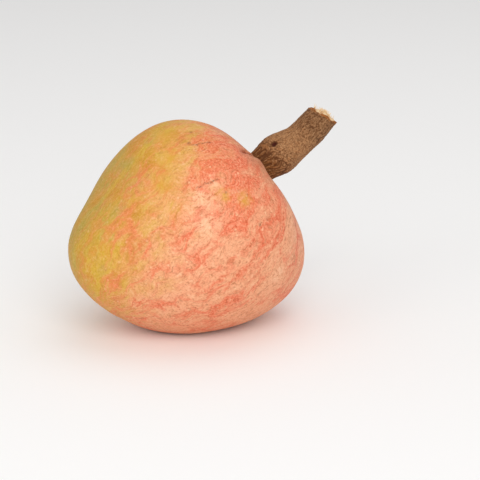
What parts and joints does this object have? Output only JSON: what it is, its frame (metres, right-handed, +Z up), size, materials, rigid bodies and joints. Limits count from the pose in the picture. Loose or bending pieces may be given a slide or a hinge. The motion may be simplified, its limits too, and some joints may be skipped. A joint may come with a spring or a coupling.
{
  "type": "custard apple",
  "caption": "Whole smooth-skinned custard apple lying on its side, heart-shaped and blushed yellow to red, with a snapped woody stem.",
  "frame": {"origin": "on the surface the fruit rests on, under the middle of the whole object's box", "axes": "+X towards the side where the stem stands out, +Y to the far side, +Z up; the fruit's own axis rises 38 degrees from the horizontal and is turned 20 degrees from +X towards +Y"},
  "size_m": [0.1254, 0.0986, 0.1002],
  "materials": {
    "fruit_skin": "natural waxy fruit rind, satin, golden yellow with a salmon red blush",
    "stem_bark": "dry fissured bark, matt, with a torn fibrous end"
  },
  "bodies": {
    "root": {"fruit": "fruit_skin", "stem": "stem_bark"}
  },
  "joints": []
}
